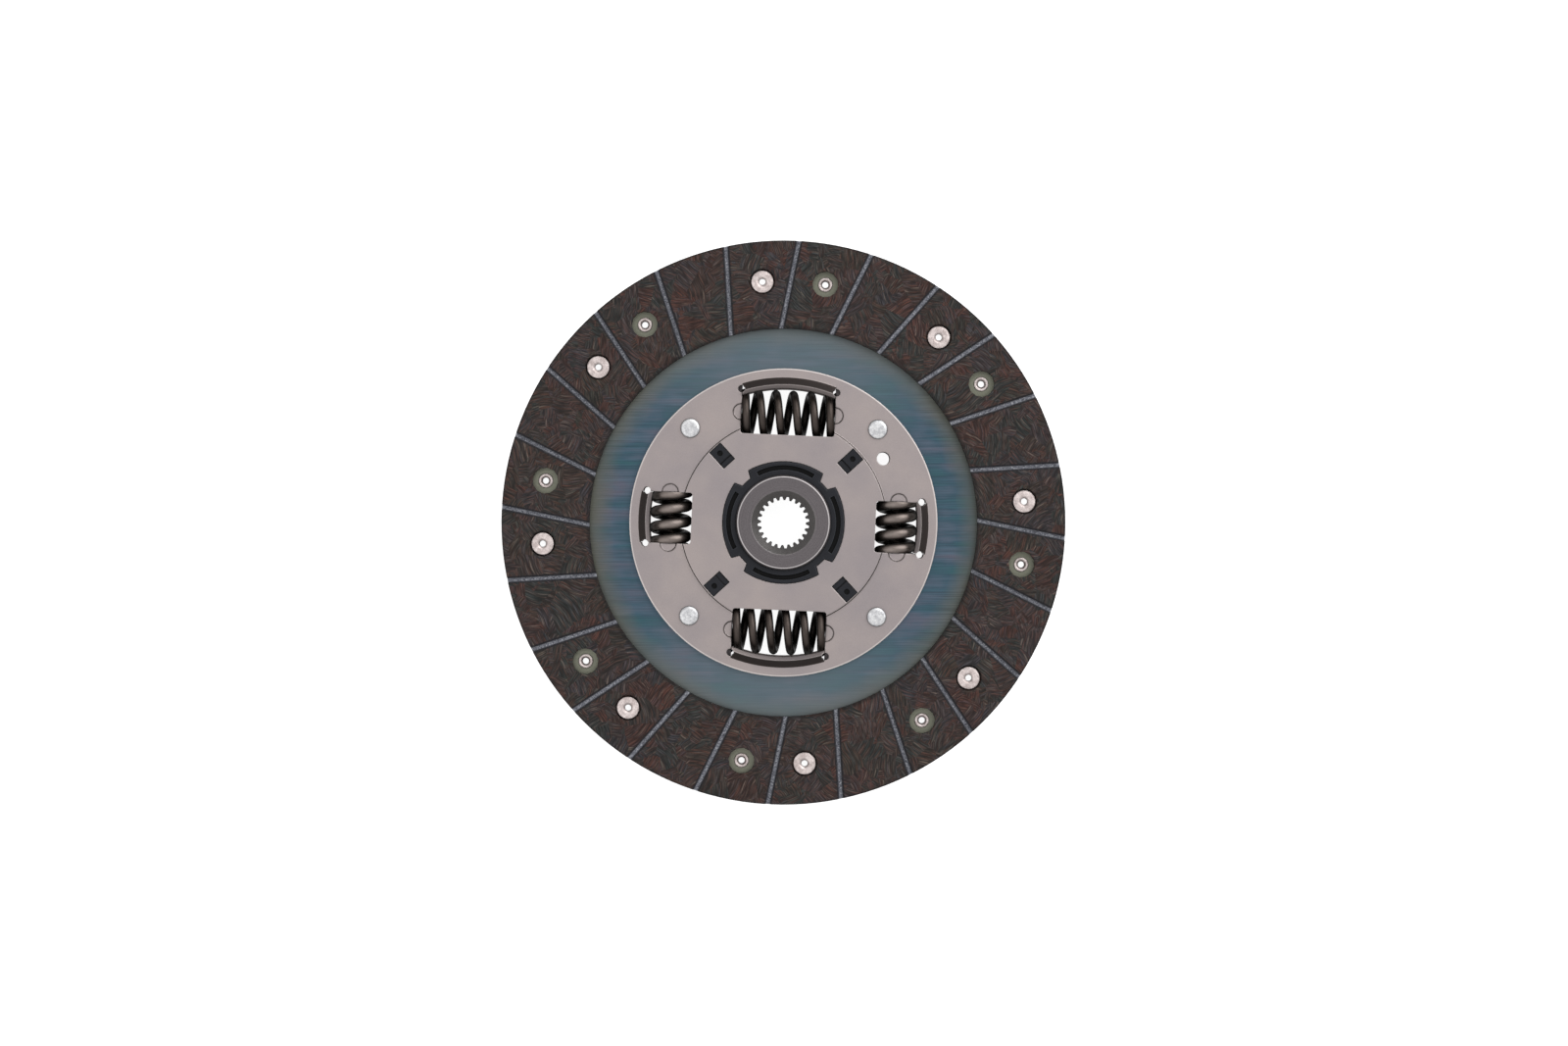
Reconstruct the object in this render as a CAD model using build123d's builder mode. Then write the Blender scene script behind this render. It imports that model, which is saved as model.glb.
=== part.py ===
import os
from math import asin, copysign, cos, degrees, radians, sin, sqrt, tan

from build123d import *

os.makedirs("parts", exist_ok=True)

# The disc lies flat. The origin is on the hub's axis, in the middle of the cushion plate's sheet.
# +Z is the axis and points to the flywheel side. Angles run anticlockwise from +X, seen from +Z.

# Friction facings
disc_diameter = 215.0
facing_bore = 148.0
facing_thickness = 3.4
groove_count = 24
groove_width = 2.1
groove_depth = 1.2
groove_offset = 15.7
groove_angle = 5.9

# Small round things that repeat are many-sided: the rivets, the stop pins and their holes
small_round_sides = 12

# Facing rivets, hollow, in pairs on one circle
rivet_inset = 15.3
rivet_pairs = 8
front_rivet_angle = 7.5
rear_rivet_angle = 37.5
rivet_head_diameter = 8.6
rivet_head_thickness = 0.9
rivet_shank_diameter = 4.6
rivet_bore = 2.4
rivet_tail_diameter = 5.6
rivet_tail_height = 0.7
rivet_seat_thickness = 1.3
rivet_hole_clearance = 0.1
rivet_pocket_clearance = 0.7

# Cushion plate
cushion_thickness = 0.7
cushion_step_room = 2.0
cushion_wave = 0.4
paddle_inset = 3.5
paddle_gap = 2.2
paddle_neck_width = 17.0
wave_ramp = 4.0
ring_cover = 3.5
ring_slot = 1.5

# Side plates
side_plate_diameter = 117.6
side_plate_thickness = 2.0
step_diameter = 78.6
step_height = 1.2
step_run = 0.4

# Springs: the two long main springs sit above and below the hub, the two short ones beside it
main_spring_circle = 82.0
main_spring_diameter = 19.4
main_wire_diameter = 3.1
main_spring_pitch = 6.7
main_open_turns = 4.2
main_spring_phase = 0.5
side_spring_circle = 86.2
side_spring_diameter = 16.5
side_wire_diameter = 4.2
side_spring_pitch = 5.9
side_open_turns = 2.4
side_spring_phase = 0.42
closing_turns = 0.4
closed_turn_gap = 0.1
wire_sides = 6
runs_per_turn = 12
spring_end_gap = 0.05

# Spring windows in the side plates
main_window_length = 35.8
main_window_depth = 7.6
side_window_length = 19.6
side_window_depth = 8.0
window_corner_round = 1.0
spring_edge_gap = 0.35
lip_spring_room = 4.7
lip_run = 2.8
lip_rise = 3.0
lip_end_gap = 0.2
relief_hole_diameter = 2.8
relief_hole_inset = 1.9
relief_hole_shift = 0.25
half_moon_radius = 3.3
half_moon_depth = 0.5
half_moon_draft = 35.0
half_moon_shift = 0.55

# Stop pins
pin_circle = 101.2
pin_angle = 47.1
pin_count = 4
pin_shoulder_diameter = 8.0
pin_shank_diameter = 6.0
pin_head_diameter = 7.5
pin_head_height = 1.3
pin_head_chamfer = 0.6

# Gauge hole through both side plates and the cushion plate
gauge_hole_diameter = 5.0
gauge_hole_clearance = 0.7
gauge_hole_radius = 45.3
gauge_hole_angle = 35.1

# Hub
hub_diameter = 36.2
hub_front = 6.0
hub_length = 23.0
hub_edge_chamfer = 0.6
hub_mouth_diameter = 24.6
hub_mouth_depth = 3.6
spline_teeth = 24
spline_minor_diameter = 17.3
spline_major_diameter = 19.9
spline_space_inner = 1.55
spline_space_outer = 0.85
spline_angle = 7.5
collar_height = 1.9
collar_teeth = 16
collar_tooth_width = 3.4
collar_tooth_height = 0.9

# Hub flange
flange_diameter = 110.0
flange_thickness = 6.0
flange_corner_chamfer = 1.2
side_window_play_angle = 6.0
twist_angle = 8.0
twist_clearance_angle = 0.4
flange_window_clearance = 1.7

# Bushes: both run on the hub and sit in the side plates
hub_running_clearance = 0.1
axial_clearance = 0.1
bush_play = 0.1
bush_lobes = 4
bush_wall = 2.7
bush_lobe_height = 2.35
bush_lobe_end_height = 3.0
bush_lobe_half_angle = 36.5
bush_notch_half_angle = 5.7
bush_collar_margin = 0.2
bush_rise = 0.6
bush_edge_chamfer = 0.4
bush_slot_margin = 1.4
bush_slot_width = 1.75
bush_slot_half_angle = 30.4
bush_slot_depth = 1.5
rear_bush_wall = 2.8

# Friction washers, thrust plate and cone spring
washer_play = 0.2
washer_spring_gap = 0.8
peg_count = 4
peg_angle = 45.0
peg_width = 5.6
peg_length = 8.2
peg_clearance = 0.1
peg_step_gap = 0.4
peg_sink = 0.2
peg_ridge_width = 2.2
peg_ridge_depth = 0.3
peg_dimple_diameter = 2.0
peg_dimple_shift = 1.2
peg_dimple_depth = 0.6
ear_width = 9.0
ear_thickness = 1.6
ear_end_gap = 0.9
rear_washer_thickness = 1.4
thrust_plate_thickness = 0.8
thrust_tab_radius = 34.0
thrust_tab_width = 5.6
cone_spring_thickness = 0.6
cone_spring_margin = 0.5

# Levels along the axis
cushion_front = cushion_thickness / 2
cushion_rear = -cushion_front
facing_seat = cushion_front + cushion_wave
facing_front = facing_seat + facing_thickness
plate_seat = cushion_front
plate_front = plate_seat + side_plate_thickness
step_seat = plate_seat + step_height
step_front = plate_front + step_height
# The main springs pass under the straight inner edges of their windows
spring_under_edge = sqrt((main_spring_diameter / 2) ** 2 - (main_window_depth - spring_edge_gap) ** 2)
spring_level = step_seat - spring_under_edge
flange_front = spring_level + flange_thickness / 2
flange_rear = spring_level - flange_thickness / 2
rear_step_seat = 2 * spring_level - step_seat
rear_step_back = 2 * spring_level - step_front
rear_plate_seat = 2 * spring_level - plate_seat
rear_plate_back = 2 * spring_level - plate_front
hub_rear = hub_front - hub_length

spring_plane = Plane.XY.offset(spring_level)
turn_over_angle = (front_rivet_angle + rear_rivet_angle) / 2
turn_over_axis = Axis((0, 0, 0), (cos(radians(turn_over_angle)), sin(radians(turn_over_angle)), 0))
outside = disc_diameter

# Distances from the axis
rivet_radius = disc_diameter / 2 - rivet_inset
pin_radius = pin_circle / 2
paddle_radius = disc_diameter / 2 - paddle_inset
ring_radius = facing_bore / 2 + ring_cover
step_foot = (step_diameter + step_run) / 2
step_top = (step_diameter - step_run) / 2
main_spring_radius = main_spring_circle / 2
side_spring_radius = side_spring_circle / 2
main_spring_inner = main_spring_radius - main_spring_diameter / 2
side_spring_inner = side_spring_radius - side_spring_diameter / 2
lip_bend_radius = main_spring_radius + main_spring_diameter / 2 + lip_spring_room
hub_radius = hub_diameter / 2
bush_bore_radius = hub_radius + hub_running_clearance
bush_notch_radius = bush_bore_radius + bush_wall
bush_lobe_radius = bush_notch_radius + bush_lobe_height
bush_lobe_end_radius = bush_notch_radius + bush_lobe_end_height
bush_collar_radius = bush_lobe_end_radius + bush_collar_margin
rear_bush_radius = bush_bore_radius + rear_bush_wall
washer_bore_radius = bush_collar_radius + washer_play
washer_radius = min(main_spring_inner, side_spring_inner) - washer_spring_gap
peg_radius = step_top - peg_step_gap - peg_length / 2


def polar(radius, angle):
    """The point at a radius and an angle in degrees."""
    return (radius * cos(radians(angle)), radius * sin(radians(angle)))


# Front facing: a grooved ring, with stepped holes for its own rivets
# and plain pockets that clear the tails of the rear facing's rivets
groove_middle = (facing_bore + disc_diameter) / 4
groove_length = disc_diameter - facing_bore
pocket_diameter = rivet_head_diameter + 2 * rivet_pocket_clearance
shank_hole_diameter = rivet_shank_diameter + 2 * rivet_hole_clearance

with BuildPart() as front_facing:
    with BuildSketch(Plane.XY.offset(facing_seat)):
        Circle(disc_diameter / 2)
        Circle(facing_bore / 2, mode=Mode.SUBTRACT)
    extrude(amount=facing_thickness)
    with BuildSketch(Plane.XY.offset(facing_front)):
        with PolarLocations(0, groove_count, start_angle=groove_angle):
            with Locations((groove_middle, groove_offset)):
                Rectangle(groove_length, groove_width)
    extrude(amount=-groove_depth, mode=Mode.SUBTRACT)
    with BuildSketch(Plane.XY.offset(facing_seat)):
        with PolarLocations(rivet_radius, rivet_pairs, start_angle=front_rivet_angle):
            RegularPolygon(shank_hole_diameter / 2, small_round_sides)
        with PolarLocations(rivet_radius, rivet_pairs, start_angle=rear_rivet_angle):
            RegularPolygon(pocket_diameter / 2, small_round_sides)
    extrude(amount=facing_thickness, mode=Mode.SUBTRACT)
    with BuildSketch(Plane.XY.offset(facing_seat + rivet_seat_thickness)):
        with PolarLocations(rivet_radius, rivet_pairs, start_angle=front_rivet_angle):
            RegularPolygon(pocket_diameter / 2, small_round_sides)
    extrude(amount=facing_thickness, mode=Mode.SUBTRACT)
front_facing.part.label = "front_facing"
export_step(front_facing.part, "parts/front_facing.step")

# Rear facing: the same ring turned over, so that its rivets fall between the front ones
with BuildPart() as rear_facing:
    add(front_facing.part.rotate(turn_over_axis, 180))
rear_facing.part.label = "rear_facing"
export_step(rear_facing.part, "parts/rear_facing.step")

# Front facing rivets: flat head in the facing, hollow shank, tail flared behind the cushion plate
rivet_seat = facing_seat + rivet_seat_thickness
rivet_tail_seat = facing_seat - cushion_thickness
rivet_tail_end = rivet_tail_seat - rivet_tail_height

# Each stretch of a rivet: where it starts, how long it is and its diameter
rivet_stretches = [
    (rivet_seat, rivet_head_thickness, rivet_head_diameter),
    (rivet_tail_seat, rivet_seat - rivet_tail_seat, rivet_shank_diameter),
    (rivet_tail_end, rivet_tail_height, rivet_tail_diameter),
]

with BuildPart() as front_facing_rivets:
    for level, height, diameter in rivet_stretches:
        with BuildSketch(Plane.XY.offset(level)):
            with PolarLocations(rivet_radius, rivet_pairs, start_angle=front_rivet_angle):
                RegularPolygon(diameter / 2, small_round_sides)
        extrude(amount=height)
    with BuildSketch(Plane.XY.offset(rivet_tail_end)):
        with PolarLocations(rivet_radius, rivet_pairs, start_angle=front_rivet_angle):
            RegularPolygon(rivet_bore / 2, small_round_sides)
    extrude(amount=facing_front - rivet_tail_end, mode=Mode.SUBTRACT)
front_facing_rivets.part.label = "front_facing_rivets"
export_step(front_facing_rivets.part, "parts/front_facing_rivets.step")

with BuildPart() as rear_facing_rivets:
    add(front_facing_rivets.part.rotate(turn_over_axis, 180))
rear_facing_rivets.part.label = "rear_facing_rivets"
export_step(rear_facing_rivets.part, "parts/rear_facing_rivets.step")

# One paddle of the cushion plate: a strip whose wings are bent to the front and to the rear,
# cut to a T. It stands at the turn-over angle, between a front rivet and a rear rivet.
paddle_span = disc_diameter / 2
neck_half = paddle_neck_width / 2
wing_start = neck_half + wave_ramp
paddle_plane = Plane(origin=(0, 0, 0), x_dir=(0, 1, 0), z_dir=(1, 0, 0))
paddle_arc = 360 / rivet_pairs
wedge_half = paddle_span * tan(radians(paddle_arc / 2))
slot_reach = paddle_gap / 2 / sin(radians(paddle_arc / 2))

with BuildPart() as paddle:
    with BuildSketch(paddle_plane):
        with BuildLine():
            Polyline(
                (-paddle_span, cushion_wave - cushion_front),
                (-wing_start, cushion_wave - cushion_front),
                (-neck_half, -cushion_front),
                (neck_half, -cushion_front),
                (wing_start, -cushion_wave - cushion_front),
                (paddle_span, -cushion_wave - cushion_front),
                (paddle_span, -cushion_wave + cushion_front),
                (wing_start, -cushion_wave + cushion_front),
                (neck_half, cushion_front),
                (-neck_half, cushion_front),
                (-wing_start, cushion_wave + cushion_front),
                (-paddle_span, cushion_wave + cushion_front),
                close=True,
            )
        make_face()
    extrude(amount=paddle_span)
    with BuildSketch(Plane.XY.offset(-outside / 2)):
        with BuildLine():
            Polyline(
                (slot_reach, 0),
                (slot_reach + paddle_span, wedge_half),
                (slot_reach + paddle_span, -wedge_half),
                close=True,
            )
        make_face()
        Circle(paddle_radius, mode=Mode.INTERSECT)
        Circle(ring_radius + ring_slot, mode=Mode.SUBTRACT)
        with Locations((ring_radius, 0)):
            Rectangle(4 * ring_slot, paddle_neck_width)
    extrude(amount=outside, mode=Mode.INTERSECT)

main_notch_half = main_window_length / 2 + half_moon_radius + gauge_hole_clearance
main_notch_end = lip_bend_radius - side_plate_thickness
side_notch_half = side_window_length / 2 + half_moon_radius + gauge_hole_clearance

with BuildPart() as cushion_plate:
    with BuildSketch(Plane.XY.offset(cushion_rear)):
        Circle(ring_radius)
        Circle(step_diameter / 2 + cushion_step_room, mode=Mode.SUBTRACT)
        Rectangle(2 * main_notch_half, 2 * main_notch_end, mode=Mode.SUBTRACT)
        Rectangle(2 * lip_bend_radius, 2 * side_notch_half, mode=Mode.SUBTRACT)
    extrude(amount=cushion_thickness)
    with PolarLocations(0, rivet_pairs, start_angle=turn_over_angle):
        add(paddle.part)
    with BuildSketch(Plane.XY.offset(-facing_thickness)):
        with PolarLocations(rivet_radius, rivet_pairs, start_angle=front_rivet_angle):
            RegularPolygon(shank_hole_diameter / 2, small_round_sides)
        with PolarLocations(rivet_radius, rivet_pairs, start_angle=rear_rivet_angle):
            RegularPolygon(shank_hole_diameter / 2, small_round_sides)
        with PolarLocations(pin_radius, pin_count, start_angle=pin_angle):
            RegularPolygon(pin_shank_diameter / 2, small_round_sides)
        with Locations(polar(gauge_hole_radius, gauge_hole_angle)):
            Circle(gauge_hole_diameter / 2 + gauge_hole_clearance)
    extrude(amount=2 * facing_thickness, mode=Mode.SUBTRACT)
cushion_plate.part.label = "cushion_plate"
export_step(cushion_plate.part, "parts/cushion_plate.step")

# Side plate pressing, as both plates start: a dished disc with four spring windows.
# The outer edge of each window is turned up as a lip that holds the spring in.
lip_length = sqrt(lip_run**2 + lip_rise**2)
lip_edge_run = side_plate_thickness * lip_rise / lip_length
lip_edge_drop = side_plate_thickness * lip_run / lip_length
lip_root = lip_bend_radius - lip_run - lip_edge_run
lip_root += (lip_rise - lip_edge_drop + side_plate_thickness) * lip_run / lip_rise
lip_join = side_plate_thickness / 2

# Each pair of windows: the angle of the first, its length, its spring's circle, depth inside that
window_pairs = [
    (90, main_window_length, main_spring_radius, main_window_depth),
    (0, side_window_length, side_spring_radius, side_window_depth),
]
relief_hole_radius = lip_bend_radius - relief_hole_inset

with BuildPart() as spring_lips:
    with BuildSketch(Plane.XZ):
        with BuildLine():
            Polyline(
                (lip_bend_radius + lip_join, plate_front),
                (lip_bend_radius, plate_front),
                (lip_bend_radius - lip_run, plate_front + lip_rise),
                (lip_bend_radius - lip_run - lip_edge_run, plate_front + lip_rise - lip_edge_drop),
                (lip_root, plate_seat),
                (lip_bend_radius + lip_join, plate_seat),
                close=True,
            )
        make_face()
    revolve(axis=Axis.Z)
    with BuildSketch():
        Rectangle(main_window_length - 2 * lip_end_gap, outside)
        Rectangle(outside, side_window_length - 2 * lip_end_gap)
    extrude(amount=outside, mode=Mode.INTERSECT)

with BuildPart() as side_plate_pressing:
    with BuildSketch(Plane.XZ):
        with BuildLine():
            Polyline(
                (0, step_seat),
                (step_top, step_seat),
                (step_foot, plate_seat),
                (side_plate_diameter / 2, plate_seat),
                (side_plate_diameter / 2, plate_front),
                (step_foot, plate_front),
                (step_top, step_front),
                (0, step_front),
                close=True,
            )
        make_face()
    revolve(axis=Axis.Z)
    for angle, length, spring_radius, depth in window_pairs:
        # Half-moons at the window's ends are pushed in by part of the sheet
        for face_level, mode in ((plate_seat, Mode.ADD), (plate_front, Mode.SUBTRACT)):
            with BuildSketch(Plane.XY.offset(face_level)):
                with PolarLocations(0, 2, start_angle=angle):
                    half_moon_reach = spring_radius + half_moon_shift
                    with Locations((half_moon_reach, -length / 2), (half_moon_reach, length / 2)):
                        RegularPolygon(half_moon_radius, small_round_sides)
            extrude(amount=-half_moon_depth, taper=half_moon_draft, mode=mode)
        with BuildSketch():
            with PolarLocations(0, 2, start_angle=angle):
                with Locations((spring_radius - depth, 0)):
                    RectangleRounded(
                        outside, length, window_corner_round, align=(Align.MIN, Align.CENTER)
                    )
            Circle(lip_bend_radius, mode=Mode.INTERSECT)
        extrude(amount=outside, both=True, mode=Mode.SUBTRACT)
    add(spring_lips.part)
    for angle, length, spring_radius, depth in window_pairs:
        relief_offset = length / 2 + relief_hole_shift
        relief_reach = sqrt(relief_hole_radius**2 - relief_offset**2)
        with BuildSketch():
            with PolarLocations(0, 2, start_angle=angle):
                with Locations((relief_reach, -relief_offset), (relief_reach, relief_offset)):
                    RegularPolygon(relief_hole_diameter / 2, small_round_sides)
        extrude(amount=outside, both=True, mode=Mode.SUBTRACT)
    with BuildSketch():
        with PolarLocations(pin_radius, pin_count, start_angle=pin_angle):
            RegularPolygon(pin_shank_diameter / 2, small_round_sides)
        with Locations(polar(gauge_hole_radius, gauge_hole_angle)):
            Circle(gauge_hole_diameter / 2)
    extrude(amount=outside, both=True, mode=Mode.SUBTRACT)

# The front bush is keyed in the front side plate: four lobes, with a notch between each two
bush_notch_angle = 180 / bush_lobes
bush_lobe_root_angle = bush_notch_angle - bush_notch_half_angle

with BuildSketch() as bush_outline:
    with BuildLine():
        for lobe in range(bush_lobes):
            middle = 2 * bush_notch_angle * lobe
            Line(
                polar(bush_notch_radius, middle - bush_lobe_root_angle),
                polar(bush_lobe_end_radius, middle - bush_lobe_half_angle),
            )
            ThreePointArc(
                polar(bush_lobe_end_radius, middle - bush_lobe_half_angle),
                polar(bush_lobe_radius, middle),
                polar(bush_lobe_end_radius, middle + bush_lobe_half_angle),
            )
            Line(
                polar(bush_lobe_end_radius, middle + bush_lobe_half_angle),
                polar(bush_notch_radius, middle + bush_lobe_root_angle),
            )
            ThreePointArc(
                polar(bush_notch_radius, middle + bush_lobe_root_angle),
                polar(bush_notch_radius, middle + bush_notch_angle),
                polar(bush_notch_radius, middle + bush_notch_angle + bush_notch_half_angle),
            )
    make_face()

with BuildPart() as front_side_plate:
    add(side_plate_pressing.part)
    with BuildSketch():
        add(bush_outline.sketch)
        offset(amount=bush_play, kind=Kind.INTERSECTION)
        with PolarLocations(peg_radius, peg_count, start_angle=peg_angle):
            Rectangle(peg_length + 2 * peg_clearance, peg_width + 2 * peg_clearance)
    extrude(amount=outside, both=True, mode=Mode.SUBTRACT)
front_side_plate.part.label = "front_side_plate"
export_step(front_side_plate.part, "parts/front_side_plate.step")

# Rear side plate: the same pressing facing the other way, with a round hole and slots for the thrust plate
tab_slot_width = thrust_tab_width + 2 * peg_clearance
tab_slot_height = thrust_plate_thickness + 2 * peg_clearance

with BuildPart() as rear_side_plate:
    add(side_plate_pressing.part.mirror(spring_plane))
    with BuildSketch():
        Circle(rear_bush_radius + bush_play)
        with PolarLocations(thrust_tab_radius, peg_count, start_angle=peg_angle):
            Rectangle(tab_slot_height, tab_slot_width)
    extrude(amount=outside, both=True, mode=Mode.SUBTRACT)
rear_side_plate.part.label = "rear_side_plate"
export_step(rear_side_plate.part, "parts/rear_side_plate.step")

# Stop pins: a thick shoulder spaces the plates, and both ends are headed over
# Each stretch of a pin: where it starts, how far it goes and its diameter
pin_stretches = [
    (rear_plate_seat, cushion_rear - rear_plate_seat, pin_shoulder_diameter),
    (rear_plate_back, plate_front - rear_plate_back, pin_shank_diameter),
    (plate_front, pin_head_height, pin_head_diameter),
    (rear_plate_back, -pin_head_height, pin_head_diameter),
]

with BuildPart() as stop_pins:
    for level, reach, diameter in pin_stretches:
        with BuildSketch(Plane.XY.offset(level)):
            with PolarLocations(pin_radius, pin_count, start_angle=pin_angle):
                RegularPolygon(diameter / 2, small_round_sides)
        extrude(amount=reach)
    head_faces = stop_pins.faces().filter_by(Plane.XY).group_by(Axis.Z)
    chamfer(head_faces[0].edges() + head_faces[-1].edges(), pin_head_chamfer)
stop_pins.part.label = "stop_pins"
export_step(stop_pins.part, "parts/stop_pins.step")

# Hub: a barrel with a toothed collar for the flange and a splined bore
spline_major_radius = spline_major_diameter / 2
spline_minor_radius = spline_minor_diameter / 2

with BuildSketch() as collar_outline:
    Circle(hub_radius + collar_height)
    with PolarLocations(hub_radius + collar_height, collar_teeth):
        Rectangle(2 * collar_tooth_height, collar_tooth_width)

with BuildPart() as hub:
    with BuildSketch(Plane.XZ):
        with BuildLine():
            Polyline(
                (0, hub_rear),
                (hub_radius, hub_rear),
                (hub_radius, hub_front - hub_edge_chamfer),
                (hub_radius - hub_edge_chamfer, hub_front),
                (hub_mouth_diameter / 2, hub_front),
                (spline_minor_radius, hub_front - hub_mouth_depth),
                (0, hub_front - hub_mouth_depth),
                close=True,
            )
        make_face()
    revolve(axis=Axis.Z)
    with BuildSketch(Plane.XY.offset(flange_rear)):
        add(collar_outline.sketch)
    extrude(amount=flange_thickness)
    with BuildSketch(Plane.XY.offset(hub_rear)):
        Circle(spline_minor_radius)
        with PolarLocations(0, spline_teeth, start_angle=spline_angle):
            Polygon(
                (0, -spline_space_inner / 2),
                (spline_minor_radius, -spline_space_inner / 2),
                (spline_major_radius, -spline_space_outer / 2),
                (spline_major_radius, spline_space_outer / 2),
                (spline_minor_radius, spline_space_inner / 2),
                (0, spline_space_inner / 2),
                align=None,
            )
    extrude(amount=hub_length, mode=Mode.SUBTRACT)
hub.part.label = "hub"
export_step(hub.part, "parts/hub.step")

# Hub flange: windows fit the main springs and leave play beside the side springs.
# The notches let the stop pins pass to the limits of the twist and keep the gauge hole open.
pin_half_angle = degrees(asin(pin_shoulder_diameter / 2 / pin_radius))
gauge_reach = gauge_hole_diameter / 2 + gauge_hole_clearance
gauge_half_angle = degrees(asin(gauge_reach / gauge_hole_radius))
notch_floor = min(
    gauge_hole_radius - gauge_reach,
    pin_radius - pin_shoulder_diameter / 2 - flange_window_clearance,
)
notch_end_angle = pin_angle + pin_half_angle + twist_angle + twist_clearance_angle
notch_start_angle = min(
    pin_angle - pin_half_angle - twist_angle - twist_clearance_angle,
    gauge_hole_angle - gauge_half_angle,
)
side_spring_play = side_spring_radius * tan(radians(side_window_play_angle))
flange_windows = [
    (90, main_window_length, main_spring_inner),
    (0, side_window_length + 2 * side_spring_play, side_spring_inner),
]

with BuildSketch() as pin_notch:
    with BuildLine():
        floor_arc = CenterArc((0, 0), notch_floor, notch_start_angle, notch_end_angle - notch_start_angle)
        Polyline(
            floor_arc @ 1,
            polar(flange_diameter, notch_end_angle),
            polar(flange_diameter, notch_start_angle),
            floor_arc @ 0,
        )
    make_face()
    chamfer(pin_notch.vertices().sort_by(SortBy.DISTANCE)[:2], flange_corner_chamfer)

with BuildPart() as hub_flange:
    with BuildSketch(Plane.XY.offset(flange_rear)):
        Circle(flange_diameter / 2)
        with PolarLocations(0, pin_count):
            add(pin_notch.sketch, mode=Mode.SUBTRACT)
        for angle, length, inner in flange_windows:
            with PolarLocations(0, 2, start_angle=angle):
                with Locations((inner - flange_window_clearance, 0)):
                    Rectangle(outside, length, align=(Align.MIN, Align.CENTER), mode=Mode.SUBTRACT)
        add(collar_outline.sketch, mode=Mode.SUBTRACT)
    extrude(amount=flange_thickness)
hub_flange.part.label = "hub_flange"
export_step(hub_flange.part, "parts/hub_flange.step")

# Front bush: a collar behind the side plate, four lobes through it, and a bore that runs on the hub
bush_front = step_front + bush_rise
bush_slot_outer = bush_lobe_radius - bush_slot_margin
bush_slot_inner = bush_slot_outer - bush_slot_width

with BuildSketch() as bush_slot:
    with BuildLine():
        outer_arc = CenterArc((0, 0), bush_slot_outer, -bush_slot_half_angle, 2 * bush_slot_half_angle)
        inner_arc = CenterArc((0, 0), bush_slot_inner, -bush_slot_half_angle, 2 * bush_slot_half_angle)
        Line(inner_arc @ 0, outer_arc @ 0)
        Line(inner_arc @ 1, outer_arc @ 1)
    make_face()

with BuildPart() as front_bush:
    with BuildSketch(Plane.XY.offset(step_seat)):
        add(bush_outline.sketch)
    extrude(amount=bush_front - step_seat)
    chamfer(front_bush.faces().sort_by(Axis.Z)[-1].edges(), bush_edge_chamfer)
    with BuildSketch(Plane.XY.offset(step_seat)):
        Circle(bush_collar_radius)
    extrude(amount=flange_front + axial_clearance - step_seat)
    with BuildSketch(Plane.XY.offset(flange_front)):
        Circle(bush_bore_radius)
    extrude(amount=outside, mode=Mode.SUBTRACT)
    with BuildSketch(Plane.XY.offset(bush_front)):
        with PolarLocations(0, bush_lobes):
            add(bush_slot.sketch)
    extrude(amount=-bush_slot_depth, mode=Mode.SUBTRACT)
front_bush.part.label = "front_bush"
export_step(front_bush.part, "parts/front_bush.step")

# Rear bush: a round sleeve in the rear side plate, with a collar against the flange
with BuildPart() as rear_bush:
    with BuildSketch(Plane.XY.offset(flange_rear - axial_clearance)):
        Circle(bush_collar_radius)
        Circle(bush_bore_radius, mode=Mode.SUBTRACT)
    extrude(amount=rear_step_seat - flange_rear + axial_clearance)
    with BuildSketch(Plane.XY.offset(rear_step_seat)):
        Circle(rear_bush_radius)
        Circle(bush_bore_radius, mode=Mode.SUBTRACT)
    extrude(amount=rear_step_back - bush_rise - rear_step_seat)
rear_bush.part.label = "rear_bush"
export_step(rear_bush.part, "parts/rear_bush.step")

# Front friction washer: a ring between flange and side plate, turned with the plate by four pegs
washer_front = step_seat
washer_rear = flange_front + axial_clearance
ear_reach = step_top - ear_end_gap
peg_front = step_front - peg_sink
peg_root = peg_radius - peg_length / 2

with BuildPart() as front_friction_washer:
    with BuildSketch(Plane.XY.offset(washer_rear)):
        Circle(washer_radius)
        Circle(washer_bore_radius, mode=Mode.SUBTRACT)
    extrude(amount=washer_front - washer_rear)
    with BuildSketch(Plane.XY.offset(washer_front)):
        with PolarLocations(0, peg_count, start_angle=peg_angle):
            Rectangle(ear_reach, ear_width, align=(Align.MIN, Align.CENTER))
        Circle(washer_bore_radius, mode=Mode.SUBTRACT)
    extrude(amount=-ear_thickness)
    with BuildSketch(Plane.XY.offset(washer_front - ear_thickness)):
        with PolarLocations(peg_radius, peg_count, start_angle=peg_angle):
            Rectangle(peg_length, peg_width)
    extrude(amount=peg_front - washer_front + ear_thickness)
    with BuildSketch(Plane.XY.offset(peg_front)):
        with PolarLocations(peg_radius + peg_dimple_shift, peg_count, start_angle=peg_angle):
            Circle(peg_dimple_diameter / 2)
    extrude(amount=-peg_dimple_depth, mode=Mode.SUBTRACT)
    with BuildSketch(Plane.XY.offset(peg_front)):
        with PolarLocations(peg_root, peg_count, start_angle=peg_angle):
            Rectangle(2 * peg_ridge_width, 2 * peg_width)
    extrude(amount=-peg_ridge_depth, mode=Mode.SUBTRACT)
front_friction_washer.part.label = "front_friction_washer"
export_step(front_friction_washer.part, "parts/front_friction_washer.step")

# Rear friction stack: friction washer against the flange, thrust plate, cone spring
rear_washer_front = flange_rear - axial_clearance
thrust_plate_front = rear_washer_front - rear_washer_thickness
cone_spring_front = thrust_plate_front - thrust_plate_thickness
thrust_ear_reach = thrust_tab_radius + thrust_plate_thickness / 2
cone_spring_inner = washer_bore_radius + cone_spring_margin
cone_spring_outer = washer_radius - cone_spring_margin

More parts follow.
